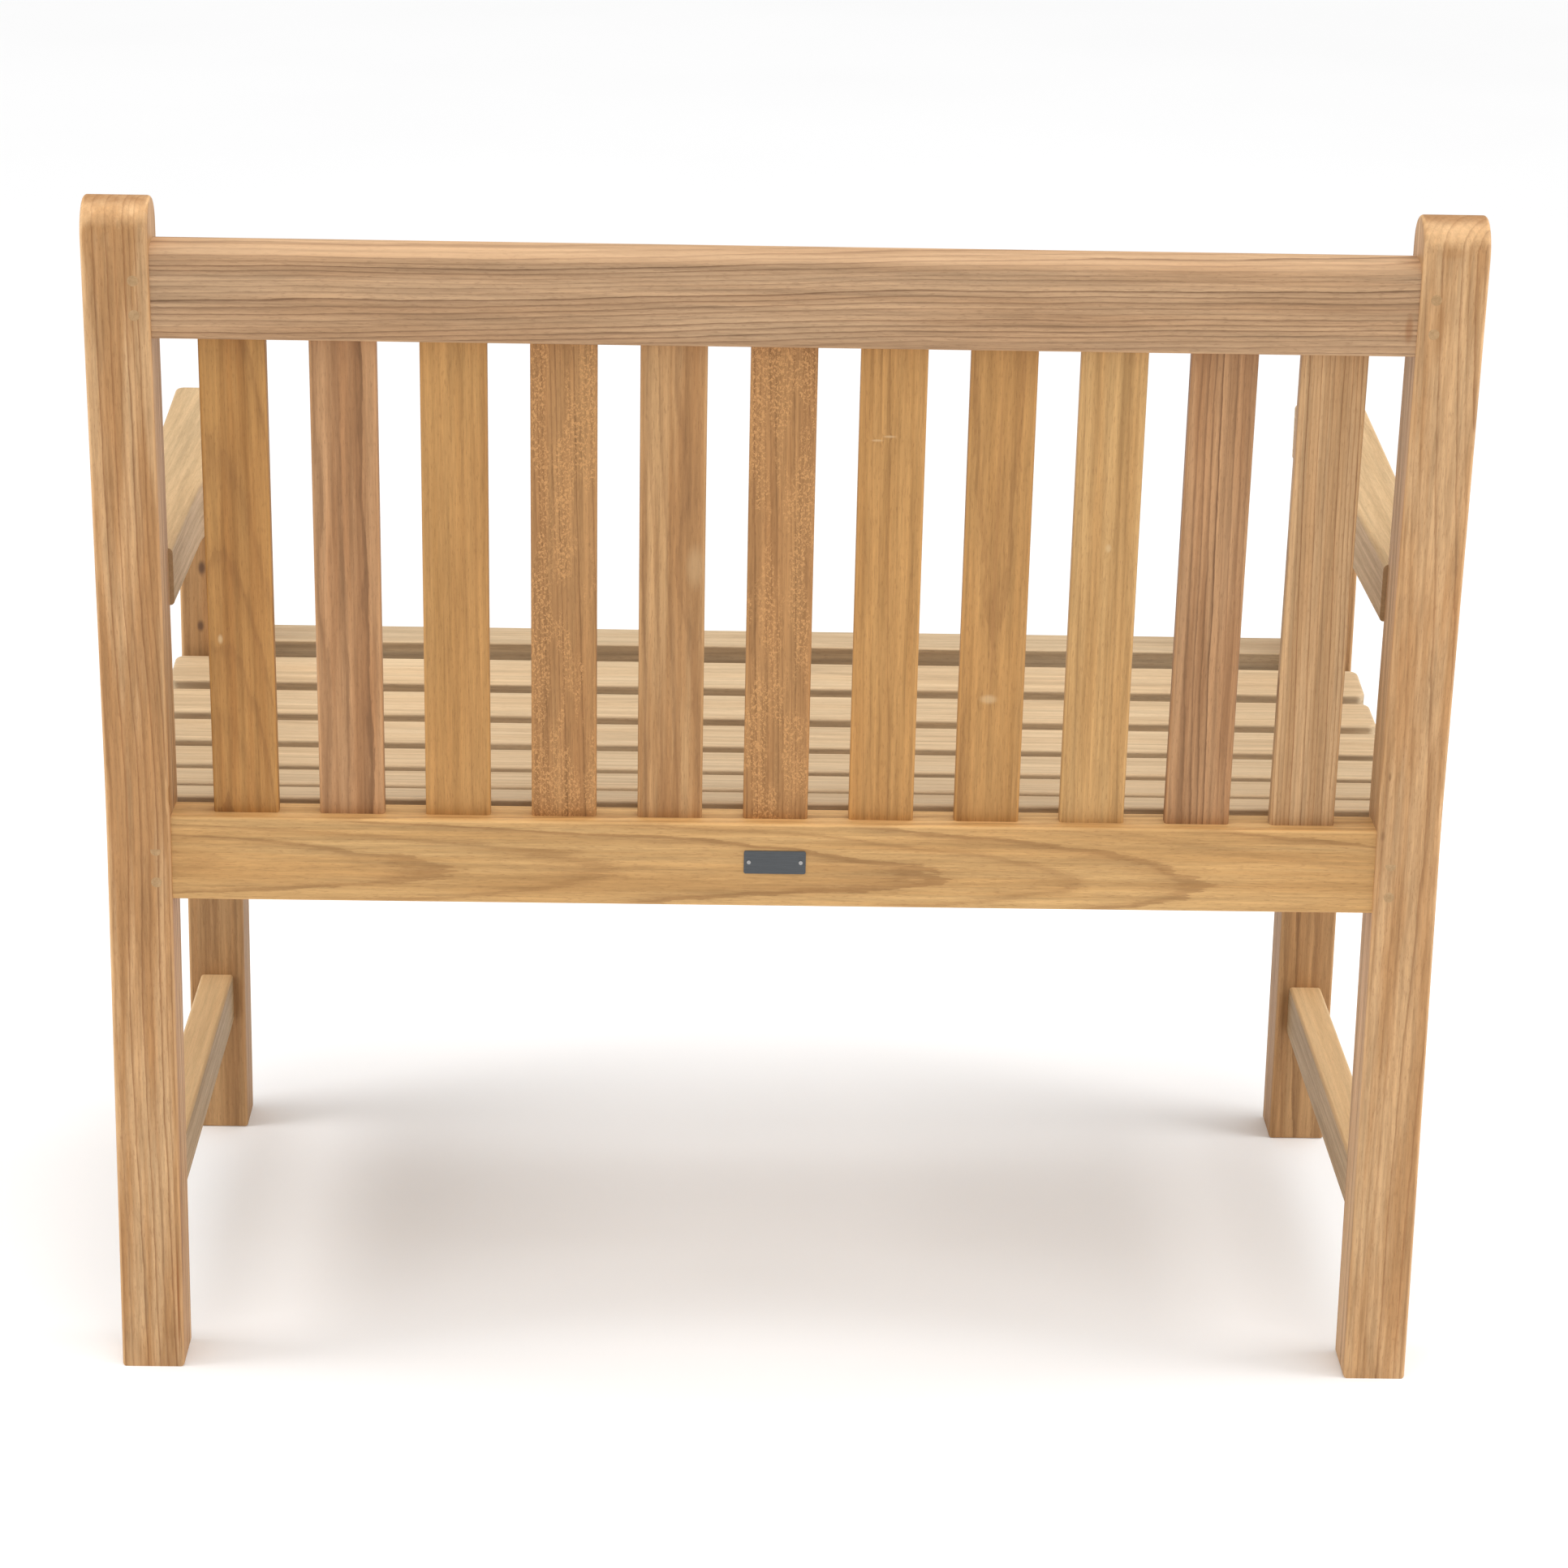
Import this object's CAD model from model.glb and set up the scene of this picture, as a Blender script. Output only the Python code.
import math
from dataclasses import dataclass, field

import bpy
from mathutils import Matrix, Vector


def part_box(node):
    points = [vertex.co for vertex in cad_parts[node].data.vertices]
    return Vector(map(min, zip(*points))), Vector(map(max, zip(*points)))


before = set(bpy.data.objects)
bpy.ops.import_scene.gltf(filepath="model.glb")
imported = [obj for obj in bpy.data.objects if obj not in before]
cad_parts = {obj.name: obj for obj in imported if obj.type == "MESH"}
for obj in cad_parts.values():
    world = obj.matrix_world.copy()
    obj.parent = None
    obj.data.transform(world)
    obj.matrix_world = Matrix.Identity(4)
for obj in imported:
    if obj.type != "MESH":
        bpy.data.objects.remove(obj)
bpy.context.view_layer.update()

# The looks of a two-seat garden bench in sanded, unfinished teak.
# Every piece is a CAD node, and this script gives each one its own board of wood.
# A board's texture is worked out in its grain frame, in millimetres from the board's middle:
# "across" and "through" are the two directions of its cross-section, and "along" follows the grain.
# Each seed shifts the noise, so that no two boards have the same figure.

MM_PER_METRE = 1000.0
LEAN = math.radians(5.7)

# How far one step of the seed shifts the noise, in patches of that noise
SEED_STEP = Vector((7.3, 3.1, 5.7))

# How each family of boards is turned: the rotation that brings its grain upright
UPRIGHT = (0.0, 0.0, 0.0)
LEANING = (LEAN, 0.0, 0.0)
POST = (LEAN / 2, 0.0, 0.0)
SIDE_TO_SIDE = (0.0, -math.pi / 2, 0.0)
FRONT_TO_BACK = (math.pi / 2, 0.0, 0.0)

# Tones of teak, as linear light. Each has a pale, a deeper and a late-wood colour.
GOLDEN = ((0.500, 0.265, 0.086), (0.390, 0.190, 0.052), (0.210, 0.085, 0.020))
WHEAT = ((0.580, 0.350, 0.140), (0.460, 0.245, 0.080), (0.240, 0.105, 0.028))
HONEY = ((0.440, 0.225, 0.066), (0.340, 0.152, 0.036), (0.185, 0.070, 0.016))
TAN = ((0.560, 0.345, 0.170), (0.420, 0.220, 0.085), (0.240, 0.098, 0.028))
ROSE = ((0.480, 0.305, 0.170), (0.360, 0.205, 0.102), (0.180, 0.090, 0.040))
RUSSET = ((0.425, 0.220, 0.080), (0.325, 0.150, 0.048), (0.160, 0.065, 0.018))
STRAW = ((0.600, 0.410, 0.215), (0.520, 0.330, 0.155), (0.340, 0.180, 0.070))
CREAM = ((0.590, 0.440, 0.270), (0.490, 0.340, 0.190), (0.300, 0.185, 0.095))
AMBER = ((0.520, 0.305, 0.135), (0.380, 0.194, 0.072), (0.210, 0.095, 0.032))
UMBER = ((0.450, 0.250, 0.118), (0.330, 0.162, 0.066), (0.160, 0.072, 0.026))

# Colours of single marks in the wood
RESIN = (0.26, 0.09, 0.02)
STAIN = (0.36, 0.17, 0.055)
KNOT = (0.10, 0.05, 0.03)
PALE_KNOT = (0.62, 0.42, 0.22)

# Colours of metal
DARK_PLATE = (0.085, 0.09, 0.095)
PIN_METAL = (0.35, 0.34, 0.33)
STEEL = (0.55, 0.55, 0.54)

WHITE = (1.0, 1.0, 1.0, 1.0)
WARM_VEIL = (1.0, 0.90, 0.78)

# How much paler than a board's own pale tone its worn and bleached places are
WORN_PALER = 1.35
FLECK_PALER = 1.45

# Darkness of the wood through one year: pale early wood, then a late-wood line that ends sharply
YEAR_OF_GROWTH = [
    (0.0, 0.30), (0.12, 0.0), (0.50, 0.10), (0.74, 0.42), (0.88, 1.0), (0.97, 0.9), (1.0, 0.30),
]

# How uneven the years are, in widths of a ring, and how faint the faintest one is
UNEVEN_YEARS = 2.4
RAGGED_YEARS = 0.55
FAINTEST_YEAR = 0.25

# How far round a knot the grain bends, in sizes of the knot
SWIRL_REACH = 2.5

# How strongly each layer tells in the colour of the wood
WARMTH = 0.35
FIBRE_SHARE = 0.35
VEIL_DEPTH = 0.20
PORE_DARKNESS = 0.28
BLEACH_LIFT = 0.55
BLEACH_FADE = 0.30
END_DARKNESS = 0.45
EDGE_WEAR = 0.35

# Surface of sanded teak: its relief, how much pores and rings add to it, and its roughness
GRAIN_BUMP = 0.35
GRAIN_DEPTH = 0.0003
PORE_RELIEF = 0.8
RING_RELIEF = 0.25
ROUGHEST = 0.66
SMOOTHEST = 0.50
SHEEN = 0.35

# Surface of brushed metal: how strongly it is worn, how much paler it is there, and its relief
METAL_WEAR = 0.25
METAL_WORN_PALER = 1.6
BRUSH_BUMP = 0.2
BRUSH_DEPTH = 0.0001


@dataclass
class Mark:
    """A knot, scuff or resin line: an oval in the grain frame, paler or darker than the wood.

    Swirl is how far the rings bend aside round it, in millimetres.
    """
    across: float
    along: float
    width: float
    length: float
    colour: tuple
    strength: float = 0.7
    swirl: float = 0.0


@dataclass
class Board:
    """How one board was sawn from the tree, and what shows on it.

    Turn brings its grain upright, and tone is its pale, deeper and late-wood colour. The pith is the
    tree's centre, seen from the board's middle. Drift is how far the pith moves per millimetre along the
    board, and wander is how far it strays. Ring is the width of a year's growth, and contrast is how
    strongly the rings show. Streaks, flecks and bleached say the same of those, and light makes the
    whole board paler or darker. Lengths are in millimetres.
    """
    turn: tuple
    tone: tuple
    pith: tuple = (12.0, 70.0)
    ring: float = 5.0
    drift: tuple = (0.02, 0.01)
    contrast: float = 0.5
    wander: float = 4.0
    streaks: float = 0.6
    light: float = 1.0
    flecks: float = 0.0
    bleached: float = 0.0
    marks: list = field(default_factory=list)


class Shader:
    """Adds nodes to one material and joins them."""

    def __init__(self, name):
        self.material = bpy.data.materials.new(name)
        self.material.use_nodes = True
        self.tree = self.material.node_tree
        self.tree.nodes.clear()

    def node(self, kind, **settings):
        made = self.tree.nodes.new(kind)
        for key, value in settings.items():
            setattr(made, key, value)
        return made

    def feed(self, socket, value):
        if isinstance(value, bpy.types.NodeSocket):
            self.tree.links.new(value, socket)
        else:
            socket.default_value = value

    def math(self, operation, *values):
        made = self.node("ShaderNodeMath", operation=operation)
        for socket, value in zip(made.inputs, values):
            self.feed(socket, value)
        return made.outputs[0]

    def vector(self, operation, *values):
        made = self.node("ShaderNodeVectorMath", operation=operation)
        for socket, value in zip(made.inputs, values):
            self.feed(socket, value)
        return made.outputs["Value"] if operation == "LENGTH" else made.outputs[0]

    def scaled(self, colour, factor):
        made = self.node("ShaderNodeVectorMath", operation="SCALE")
        self.feed(made.inputs[0], colour)
        self.feed(made.inputs["Scale"], factor)
        return made.outputs[0]

    def split(self, vector):
        made = self.node("ShaderNodeSeparateXYZ")
        self.feed(made.inputs[0], vector)
        return made.outputs[:]

    def join(self, x, y, z):
        made = self.node("ShaderNodeCombineXYZ")
        for socket, value in zip(made.inputs, (x, y, z)):
            self.feed(socket, value)
        return made.outputs[0]

    def placed(self, vector, kind, location=(0, 0, 0), rotation=(0, 0, 0), scale=(1, 1, 1)):
        made = self.node("ShaderNodeMapping", vector_type=kind)
        self.feed(made.inputs["Vector"], vector)
        made.inputs["Rotation"].default_value = rotation
        made.inputs["Scale"].default_value = scale
        if kind == "POINT":
            made.inputs["Location"].default_value = location
        return made.outputs[0]

    def noise(self, vector, grain_size, seed, detail=2.0, roughness=0.5, distortion=0.0):
        """Noise whose patches measure grain_size millimetres along the three axes of the grain frame."""
        scale = [1.0 / size for size in grain_size]
        shifted = self.placed(vector, "POINT", location=SEED_STEP * seed, scale=scale)
        made = self.node("ShaderNodeTexNoise", noise_dimensions="3D")
        self.feed(made.inputs["Vector"], shifted)
        made.inputs["Scale"].default_value = 1.0
        made.inputs["Detail"].default_value = detail
        made.inputs["Roughness"].default_value = roughness
        made.inputs["Distortion"].default_value = distortion
        return made

    def ranged(self, value, low, high, to_low=0.0, to_high=1.0, smooth=True):
        kind = "SMOOTHSTEP" if smooth else "LINEAR"
        made = self.node("ShaderNodeMapRange", interpolation_type=kind, clamp=True)
        for socket, number in zip(made.inputs, (value, low, high, to_low, to_high)):
            self.feed(socket, number)
        return made.outputs[0]

    def curve(self, value, points):
        """A smooth curve through points given as (position, height)."""
        made = self.node("ShaderNodeValToRGB")
        made.color_ramp.interpolation = "EASE"
        stops = made.color_ramp.elements
        while len(stops) < len(points):
            stops.new(0.5)
        for stop, (position, height) in zip(stops, points):
            stop.position = position
            stop.color = (height, height, height, 1.0)
        self.feed(made.inputs[0], value)
        return made.outputs[0]

    def mix(self, factor, first, second, blend="MIX"):
        made = self.node("ShaderNodeMix", data_type="RGBA", blend_type=blend, clamp_factor=True)
        sockets = {socket.identifier: socket for socket in made.inputs}
        self.feed(sockets["Factor_Float"], factor)
        self.feed(sockets["A_Color"], opaque(first))
        self.feed(sockets["B_Color"], opaque(second))
        return {socket.identifier: socket for socket in made.outputs}["Result_Color"]

    def bump(self, height, strength, depth):
        made = self.node("ShaderNodeBump")
        made.inputs["Strength"].default_value = strength
        made.inputs["Distance"].default_value = depth
        self.feed(made.inputs["Height"], height)
        return made.outputs[0]

    def finish(self, colour, roughness, normal, **constants):
        principled = self.node("ShaderNodeBsdfPrincipled")
        self.feed(principled.inputs["Base Color"], colour)
        self.feed(principled.inputs["Roughness"], roughness)
        self.feed(principled.inputs["Normal"], normal)
        for key, value in constants.items():
            principled.inputs[key.replace("_", " ")].default_value = value
        output = self.node("ShaderNodeOutputMaterial")
        self.tree.links.new(principled.outputs[0], output.inputs["Surface"])
        return self.material


def opaque(colour):
    """A colour of three numbers gets an alpha of one. A socket is left alone."""
    return (*colour, 1.0) if isinstance(colour, tuple) and len(colour) == 3 else colour


def scaled(colour, factor):
    return tuple(channel * factor for channel in colour)


def middle_of(node):
    low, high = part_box(node)
    return (low + high) / 2


# ---- the layers of the wood ----

def grain_frame(shader, node, board):
    """Coordinates in the grain frame, and the surface normal turned the same way."""
    source = shader.node("ShaderNodeTexCoord")
    turn = Matrix.Rotation(board.turn[1], 3, "Y") @ Matrix.Rotation(board.turn[0], 3, "X")
    start = turn @ middle_of(node) * MM_PER_METRE
    position = shader.placed(
        source.outputs["Object"], "POINT", location=-start, rotation=board.turn, scale=(MM_PER_METRE,) * 3
    )
    normal = shader.placed(source.outputs["Normal"], "VECTOR", rotation=board.turn)
    return position, normal


def growth_rings(shader, position, board, seed):
    """Darkness of the late wood, from the distance to a pith line that wanders along the board."""
    wander = shader.noise(position, (90, 90, 380), seed, detail=2.0)
    offset = shader.vector("SUBTRACT", wander.outputs["Color"], (0.5, 0.5, 0.5))
    offset = shader.vector("MULTIPLY", offset, (2 * board.wander, 2 * board.wander, 0.0))
    warped = shader.vector("ADD", position, offset)
    across, through, along = shader.split(warped)
    for mark in board.marks:
        if mark.swirl:
            push = shader.math("MULTIPLY", oval(shader, position, mark, SWIRL_REACH), mark.swirl)
            across = shader.math("ADD", across, push)
    across = shader.math("SUBTRACT", across, board.pith[0])
    across = shader.math("MULTIPLY_ADD", along, -board.drift[0], across)
    through = shader.math("SUBTRACT", through, board.pith[1])
    through = shader.math("MULTIPLY_ADD", along, -board.drift[1], through)
    radius = shader.vector("LENGTH", shader.join(across, through, 0.0))
    uneven = shader.noise(shader.join(radius, 0.0, 0.0), (28, 28, 28), seed + 2.0, detail=1.0)
    phase = shader.math("MULTIPLY_ADD", radius, 1.0 / board.ring, seed)
    phase = shader.math("MULTIPLY_ADD", uneven.outputs[0], UNEVEN_YEARS, phase)
    ragged = shader.noise(position, (5, 5, 45), seed + 8.0, detail=4.0, roughness=0.65)
    phase = shader.math("MULTIPLY_ADD", ragged.outputs[0], RAGGED_YEARS, phase)
    late_wood = shader.curve(shader.math("FRACT", phase), YEAR_OF_GROWTH)
    year = shader.node("ShaderNodeTexWhiteNoise", noise_dimensions="1D")
    shader.feed(year.inputs["W"], shader.math("FLOOR", phase))
    strength = shader.ranged(year.outputs["Value"], 0.0, 1.0, FAINTEST_YEAR, 1.0, smooth=False)
    return shader.math("MULTIPLY", late_wood, strength)


def oval(shader, position, mark, reach=1.0):
    """One inside the mark, fading to nothing at reach times its size."""
    across, _, along = shader.split(position)
    across = shader.math("DIVIDE", shader.math("SUBTRACT", across, mark.across), mark.width * reach / 2)
    along = shader.math("DIVIDE", shader.math("SUBTRACT", along, mark.along), mark.length * reach / 2)
    distance = shader.vector("LENGTH", shader.join(across, along, 0.0))
    return shader.ranged(distance, 1.0, 0.25)


def worn_edges(shader, normal, seed, position):
    """One on the rounded edges, where the normal leaves the board's faces, broken up by noise."""
    x, y, z = shader.split(shader.vector("ABSOLUTE", normal))
    flatness = shader.math("MAXIMUM", shader.math("MAXIMUM", x, y), z)
    edge = shader.ranged(flatness, 0.985, 0.86)
    patches = shader.noise(position, (9, 9, 70), seed + 9.0, detail=3.0)
    return shader.math("MULTIPLY", edge, shader.ranged(patches.outputs[0], 0.3, 0.62, 0.35, 1.0))


def end_grain(shader, normal):
    """One where the saw cut across the fibres."""
    along = shader.math("ABSOLUTE", shader.split(normal)[2])
    return shader.ranged(along, 0.75, 0.95)


def ray_flecks(shader, position, seed):
    """Short pale dashes across the grain, gathered in patches, as quarter-sawn teak shows."""
    dashes = shader.noise(position, (1.7, 1.7, 2.4), seed, detail=2.0, roughness=0.6, distortion=0.9)
    patches = shader.noise(position, (13, 30, 70), seed + 4.0, detail=2.0, roughness=0.6)
    patch = shader.ranged(patches.outputs[0], 0.40, 0.54)
    return shader.math("MULTIPLY", shader.ranged(dashes.outputs[0], 0.49, 0.60), patch)


def upward(shader):
    """One on faces that look up, which the sun and the sander leave palest."""
    source = shader.node("ShaderNodeTexCoord")
    return shader.ranged(shader.split(source.outputs["Normal"])[2], 0.25, 0.85)


def teak(node, board, seed):
    """The material of one board."""
    shader = Shader("teak_" + node)
    pale, deep, late = (scaled(colour, board.light) for colour in board.tone)
    position, normal = grain_frame(shader, node, board)

    rings = growth_rings(shader, position, board, seed)
    broad = shader.noise(position, (15, 15, 420), seed + 1.0, detail=4.0, roughness=0.6)
    cloud = shader.noise(position, (55, 55, 260), seed + 3.0, detail=2.0)
    streak = shader.noise(position, (4.5, 4.5, 190), seed + 5.0, detail=3.0, roughness=0.6)
    fibre = shader.noise(position, (1.2, 1.2, 22), seed + 6.0, detail=3.0, roughness=0.7)
    pore = shader.noise(position, (0.8, 0.8, 6.5), seed + 7.0, detail=2.0)
    pores = shader.ranged(pore.outputs[0], 0.56, 0.70)

    depth = shader.ranged(broad.outputs[0], 0.38, 0.62, 0.0, board.streaks)
    colour = shader.mix(depth, pale, deep)
    warmth = shader.ranged(cloud.outputs[0], 0.35, 0.65, 0.0, WARMTH)
    colour = shader.mix(warmth, colour, WARM_VEIL, "MULTIPLY")
    lines = shader.math("MULTIPLY", rings, board.contrast)
    colour = shader.mix(lines, colour, late)
    part_fibre = shader.math("MULTIPLY", fibre.outputs[0], FIBRE_SHARE)
    fine = shader.math("MULTIPLY_ADD", streak.outputs[0], 1.0 - FIBRE_SHARE, part_fibre)
    veil = shader.ranged(fine, 0.36, 0.64, 1.0 - VEIL_DEPTH, 1.0 + VEIL_DEPTH, smooth=False)
    colour = shader.scaled(colour, veil)
    colour = shader.mix(shader.math("MULTIPLY", pores, PORE_DARKNESS), colour, late)
    if board.flecks:
        flecks = shader.math("MULTIPLY", ray_flecks(shader, position, seed), board.flecks)
        colour = shader.mix(flecks, colour, scaled(pale, FLECK_PALER))
    for mark in board.marks:
        here = shader.math("MULTIPLY", oval(shader, position, mark), mark.strength)
        colour = shader.mix(here, colour, mark.colour)
    if board.bleached:
        lit = upward(shader)
        colour = shader.scaled(colour, shader.math("MULTIPLY_ADD", lit, BLEACH_LIFT * board.bleached, 1.0))
        fade = shader.math("MULTIPLY", lit, BLEACH_FADE * board.bleached)
        colour = shader.mix(fade, colour, scaled(pale, WORN_PALER))
    ends = end_grain(shader, normal)
    colour = shader.mix(shader.math("MULTIPLY", ends, END_DARKNESS), colour, late)
    edges = worn_edges(shader, normal, seed, position)
    colour = shader.mix(shader.math("MULTIPLY", edges, EDGE_WEAR), colour, scaled(pale, WORN_PALER))

    roughness = shader.ranged(fine, 0.3, 0.7, ROUGHEST, SMOOTHEST)
    relief = shader.math("SUBTRACT", fine, shader.math("MULTIPLY", pores, PORE_RELIEF))
    relief = shader.math("MULTIPLY_ADD", rings, RING_RELIEF, relief)
    normal = shader.bump(relief, GRAIN_BUMP, GRAIN_DEPTH)
    return shader.finish(colour, roughness, normal, Specular_IOR_Level=SHEEN)


# ---- which board is which ----

def boards():
    """The board behind every wooden node."""
    found = {
        "back_leg_left": Board(
            POST, TAN, pith=(-75, 20), ring=5.0, drift=(0.012, 0.0), contrast=0.75, wander=6.0, streaks=1.0,
            bleached=0.75,
            marks=[Mark(-20.5, -405, 2.4, 125, RESIN, 0.85)],
        ),
        "back_leg_right": Board(
            POST, TAN, pith=(-70, 60), ring=5.0, contrast=0.6, streaks=0.8, bleached=0.5,
            marks=[
                Mark(9, 385, 9, 80, STAIN, 0.55),
                Mark(3, 440, 26, 12, STAIN, 0.4),
                Mark(18, 35, 3, 10, UMBER[2], 0.5),
                Mark(20, -13, 4, 12, UMBER[2], 0.5),
            ],
        ),
        "front_leg_left": Board(
            UPRIGHT, AMBER, pith=(20, -60), contrast=0.8, light=0.92,
            marks=[Mark(5, 193, 9, 18, KNOT, 0.85, 5), Mark(7, 142, 8, 14, KNOT, 0.8, 5)],
        ),
        "front_leg_right": Board(UPRIGHT, AMBER, pith=(-30, -70), contrast=0.8, light=0.94),
        "armrest_left": Board(
            FRONT_TO_BACK, STRAW, pith=(70, 100), ring=8.0, drift=(0.16, 0.02), contrast=0.15, streaks=0.3,
            light=0.82, bleached=0.35,
        ),
        "armrest_right": Board(
            FRONT_TO_BACK, STRAW, pith=(-60, 90), ring=8.0, drift=(0.1, 0.02), contrast=0.2, streaks=0.3,
            light=0.85, bleached=0.35,
        ),
        "top_rail": Board(
            SIDE_TO_SIDE, ROSE, pith=(120, 30), ring=4.2, drift=(0.02, 0.02), contrast=1.0, wander=9.0,
            bleached=0.65,
            marks=[Mark(14, -446, 30, 8, RESIN, 0.5)],
        ),
        "lower_back_rail": Board(
            SIDE_TO_SIDE, WHEAT, pith=(6, -24), ring=7.0, drift=(0.0, 0.045), contrast=0.6, wander=6.0,
            bleached=0.4,
        ),
        "front_seat_rail": Board(SIDE_TO_SIDE, TAN),
        "side_seat_rail_left": Board(FRONT_TO_BACK, TAN),
        "side_seat_rail_right": Board(FRONT_TO_BACK, TAN),
        "centre_seat_bearer": Board(FRONT_TO_BACK, TAN),
        "side_stretcher_left": Board(FRONT_TO_BACK, STRAW, contrast=0.4, bleached=1.5, light=0.75),
        "side_stretcher_right": Board(FRONT_TO_BACK, STRAW, contrast=0.4, bleached=1.5, light=0.75),
        "back_slat_01": Board(
            LEANING, HONEY, pith=(14, 60), ring=9.0, drift=(0.0, 0.12), contrast=0.6, wander=7.0,
            streaks=0.9,
            marks=[Mark(15, -47, 5, 10, PALE_KNOT, 0.7, 10)],
        ),
        "back_slat_02": Board(
            LEANING, UMBER, pith=(30, -40), ring=8.0, contrast=0.9, wander=7.0, streaks=1.0, light=1.12,
        ),
        "back_slat_03": Board(LEANING, GOLDEN, pith=(90, 0), ring=9.0, contrast=0.35, light=0.97),
        "back_slat_04": Board(LEANING, RUSSET, pith=(140, 0), ring=3.5, contrast=0.6, flecks=0.75),
        "back_slat_05": Board(
            LEANING, AMBER, pith=(-40, -40), ring=8.0, contrast=0.8, wander=8.0, streaks=1.0,
            marks=[Mark(-17, 15, 18, 46, PALE_KNOT, 0.35, -16)],
        ),
        "back_slat_06": Board(LEANING, RUSSET, pith=(120, 10), ring=3.5, contrast=0.6, flecks=0.75),
        "back_slat_07": Board(
            LEANING, GOLDEN, pith=(90, 10), ring=6.0, contrast=0.4, light=1.03,
            marks=[Mark(11, 115, 12, 2.5, PALE_KNOT, 0.6, 2), Mark(2, 118, 13, 2.5, PALE_KNOT, 0.6, 2)],
        ),
        "back_slat_08": Board(
            LEANING, GOLDEN, pith=(0, -50), ring=7.0, contrast=0.6, light=0.98,
            marks=[Mark(1, 30, 4, 420, STAIN, 0.4), Mark(2, -87, 17, 10, PALE_KNOT, 0.6, 8)],
        ),
        "back_slat_09": Board(
            LEANING, WHEAT, pith=(100, 0), ring=6.0, contrast=0.3, light=0.96,
            marks=[Mark(-2, 34, 6, 9, PALE_KNOT, 0.6, 5)],
        ),
        "back_slat_10": Board(
            LEANING, UMBER, pith=(40, -30), ring=4.5, contrast=1.0, wander=5.0, streaks=0.9,
        ),
        "back_slat_11": Board(LEANING, TAN, pith=(130, 0), ring=3.2, contrast=0.8, light=0.93),
    }
    for number in range(1, 8):
        found[f"seat_slat_{number:02d}"] = Board(
            SIDE_TO_SIDE, CREAM, pith=(40 + 9 * number, 10 - 12 * number), ring=7.0, contrast=0.4,
            wander=6.0, light=0.75 if number == 1 else 0.82, bleached=0.75,
        )
    return found


def paint(node, material):
    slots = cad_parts[node].data.materials
    for index in range(len(slots)):
        slots[index] = material


def peg_wood(node, seed):
    """End grain of the pegs: speckled, a little paler than the legs round them."""
    turn = SIDE_TO_SIDE if node.startswith(("side", "arm")) else FRONT_TO_BACK
    return teak(node, Board(turn, STRAW, pith=(3, 4), ring=3.0, contrast=0.3, light=0.9), seed)


def metal(name, colour, roughness, brushed):
    """Metal with fine brush lines and a few cloudy smears."""
    shader = Shader(name)
    source = shader.node("ShaderNodeTexCoord")
    position = shader.placed(source.outputs["Object"], "POINT", scale=(MM_PER_METRE,) * 3)
    lines = shader.noise(position, brushed, 3.0, detail=3.0, roughness=0.6).outputs[0]
    smears = shader.noise(position, (9, 9, 9), 5.0, detail=2.0).outputs[0]
    tint = shader.ranged(lines, 0.3, 0.7, 0.85, 1.15, smooth=False)
    painted = shader.scaled(colour, tint)
    worn = shader.math("MULTIPLY", shader.ranged(smears, 0.4, 0.75), METAL_WEAR)
    painted = shader.mix(worn, painted, scaled(colour, METAL_WORN_PALER))
    rough = shader.ranged(smears, 0.3, 0.7, roughness - 0.08, roughness + 0.12)
    return shader.finish(painted, rough, shader.bump(lines, BRUSH_BUMP, BRUSH_DEPTH), Metallic=0.8)


FIRST_BOARD_SEED = 1
FIRST_PEG_SEED = 60


def paint_everything():
    for seed, (node, board) in enumerate(boards().items(), start=FIRST_BOARD_SEED):
        paint(node, teak(node, board, float(seed)))
    pegs = sorted(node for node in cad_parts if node.endswith("_pegs"))
    for seed, node in enumerate(pegs, start=FIRST_PEG_SEED):
        paint(node, peg_wood(node, float(seed)))
    paint("nameplate", metal("plate_metal", DARK_PLATE, 0.42, (14, 1, 0.25)))
    paint("nameplate_pins", metal("pin_metal", PIN_METAL, 0.35, (1, 1, 0.3)))
    paint("seat_slat_screws", metal("screw_steel", STEEL, 0.3, (0.4, 2, 2)))


# ---- the studio ----

# Metres and radians. The camera's distance is measured from the back legs' rear face at the floor.
CAMERA_BEHIND = 3.126
CAMERA_HEIGHT = 1.501
CAMERA_SIDEWAYS = 0.058
CAMERA_TURN = 0.0204
CAMERA_PITCH = 0.3148
CAMERA_ROLL = 0.0191
LENS = 101.17
SENSOR = 36.0
FAR_CLIP = 100.0

FLOOR_SIZE = 40.0
FLOOR_GREY = 0.94
FLOOR_PALE = 0.96
FLOOR_MOTTLE = (0.8, 0.8, 0.8)
FLOOR_ROUGHNESS = (0.85, 0.95)
FLOOR_BUMP = 0.02
FLOOR_DEPTH = 0.001

WORLD_STRENGTH = 0.44
OVERHEAD_STRENGTH = 1.85
OVERHEAD_WIDTH = math.radians(75)
OVERHEAD_TILT = (math.radians(-8), math.radians(-6), 0)
FILL_SIZE = 2.5
FILL_POWER = 25.0
FILL_PLACE = (-0.8, 4.4, 2.2)
FILL_TARGET = (0, 0, 0.5)
SIDE_SIZE = 2.0
SIDE_POWER = 60.0
SIDE_PLACE = (3.5, 0.5, 1.8)
SIDE_TARGET = (0, 0, 0.3)


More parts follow.
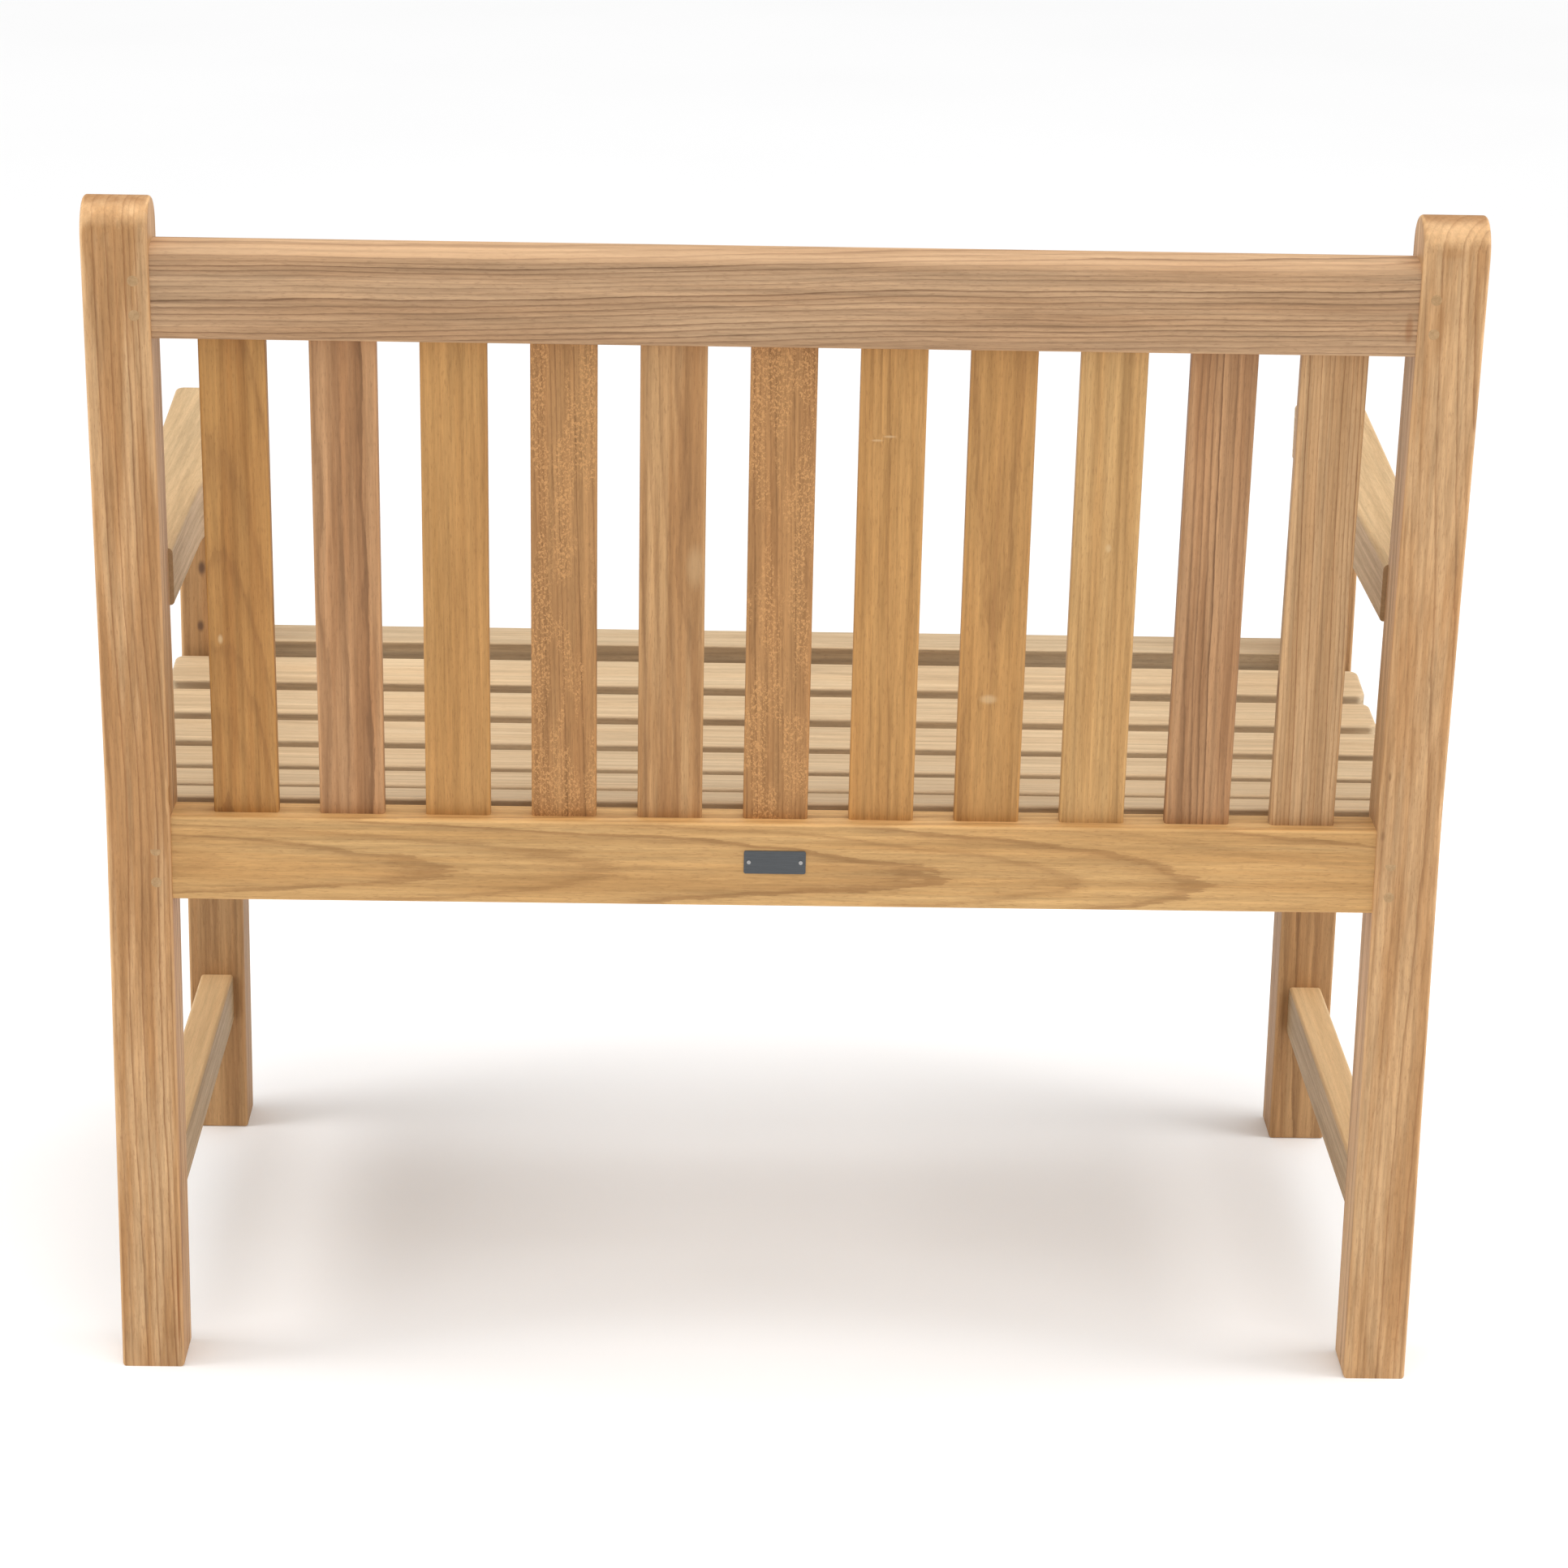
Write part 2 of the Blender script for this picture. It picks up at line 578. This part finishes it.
def camera():
    """The camera stands behind the bench at standing height, slightly to the sitter's left."""
    rear = foot_rear("back_leg_left")
    data = bpy.data.cameras.new("camera")
    data.sensor_width = SENSOR
    data.lens = LENS
    data.clip_end = FAR_CLIP
    made = bpy.data.objects.new("camera", data)
    bpy.context.scene.collection.objects.link(made)
    aim = Matrix.Rotation(math.pi - CAMERA_TURN, 4, "Z")
    aim = aim @ Matrix.Rotation(math.pi / 2 - CAMERA_PITCH, 4, "X")
    aim = aim @ Matrix.Rotation(CAMERA_ROLL, 4, "Z")
    made.matrix_world = Matrix.Translation((CAMERA_SIDEWAYS, rear + CAMERA_BEHIND, CAMERA_HEIGHT)) @ aim
    bpy.context.scene.camera = made


def foot_rear(node):
    """Y of the rear face of a leg where it stands on the floor."""
    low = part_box(node)[0].z
    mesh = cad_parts[node].data
    return max(v.co.y for v in mesh.vertices if v.co.z < low + 0.01)


def floor():
    """A wide, pale, very slightly mottled studio floor."""
    bpy.ops.mesh.primitive_grid_add(x_subdivisions=4, y_subdivisions=4, size=FLOOR_SIZE, location=(0, 0, 0))
    made = bpy.context.object
    made.name = "floor"
    shader = Shader("studio_floor")
    source = shader.node("ShaderNodeTexCoord")
    mottle = shader.noise(source.outputs["Object"], FLOOR_MOTTLE, 1.0, detail=3.0).outputs[0]
    colour = shader.mix(mottle, (FLOOR_GREY,) * 3, (FLOOR_PALE,) * 3)
    rough = shader.ranged(mottle, 0.3, 0.7, *FLOOR_ROUGHNESS)
    made.data.materials.append(shader.finish(colour, rough, shader.bump(mottle, FLOOR_BUMP, FLOOR_DEPTH)))


def area_light(name, size, power, place, target):
    data = bpy.data.lights.new(name, "AREA")
    data.shape = "DISK"
    data.size = size
    data.energy = power
    made = bpy.data.objects.new(name, data)
    bpy.context.scene.collection.objects.link(made)
    made.location = place
    made.rotation_euler = (Vector(target) - Vector(place)).to_track_quat("-Z", "Y").to_euler()


def light():
    """White surroundings, a very wide soft light overhead, and weaker ones behind and at the sides."""
    world = bpy.data.worlds.new("studio")
    world.use_nodes = True
    background = world.node_tree.nodes["Background"]
    background.inputs["Color"].default_value = WHITE
    background.inputs["Strength"].default_value = WORLD_STRENGTH
    bpy.context.scene.world = world
    data = bpy.data.lights.new("overhead", "SUN")
    data.energy = OVERHEAD_STRENGTH
    data.angle = OVERHEAD_WIDTH
    made = bpy.data.objects.new("overhead", data)
    bpy.context.scene.collection.objects.link(made)
    made.rotation_euler = OVERHEAD_TILT
    area_light("fill", FILL_SIZE, FILL_POWER, FILL_PLACE, FILL_TARGET)
    for side in (-1, 1):
        x, y, z = SIDE_PLACE
        area_light("side", SIDE_SIZE, SIDE_POWER, (side * x, y, z), SIDE_TARGET)


def studio():
    scene = bpy.context.scene
    scene.view_settings.view_transform = "Standard"
    scene.view_settings.look = "None"
    camera()
    floor()
    light()


paint_everything()
studio()
